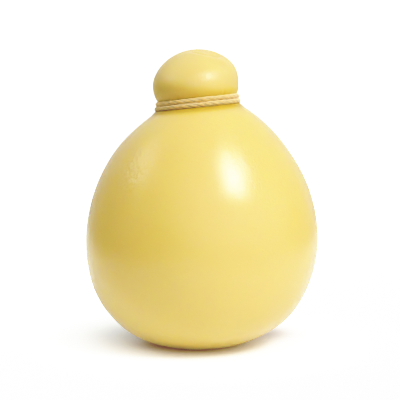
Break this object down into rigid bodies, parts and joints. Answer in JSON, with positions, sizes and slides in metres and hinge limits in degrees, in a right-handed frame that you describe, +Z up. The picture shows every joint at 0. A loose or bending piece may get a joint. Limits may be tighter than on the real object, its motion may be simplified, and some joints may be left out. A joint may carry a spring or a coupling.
{
  "type": "provolone cheese",
  "caption": "Pear-shaped whole cheese with a small round head above a drawn-in neck, tied with twisted cord that is knotted at the back; it rests on a small flat spot.",
  "frame": {"origin": "on the floor, under the middle of the cheese's body", "axes": "+Z up through the head, -Y towards the front, the knot at the back on +Y, +X to the right seen from the front"},
  "size_m": [0.15, 0.1478, 0.1916],
  "materials": {
    "rind": null,
    "cord": "straw-coloured twisted natural-fibre twine, dull and slightly hairy"
  },
  "bodies": {
    "root": {"cheese": "rind", "neck_cord": "cord"}
  },
  "joints": []
}
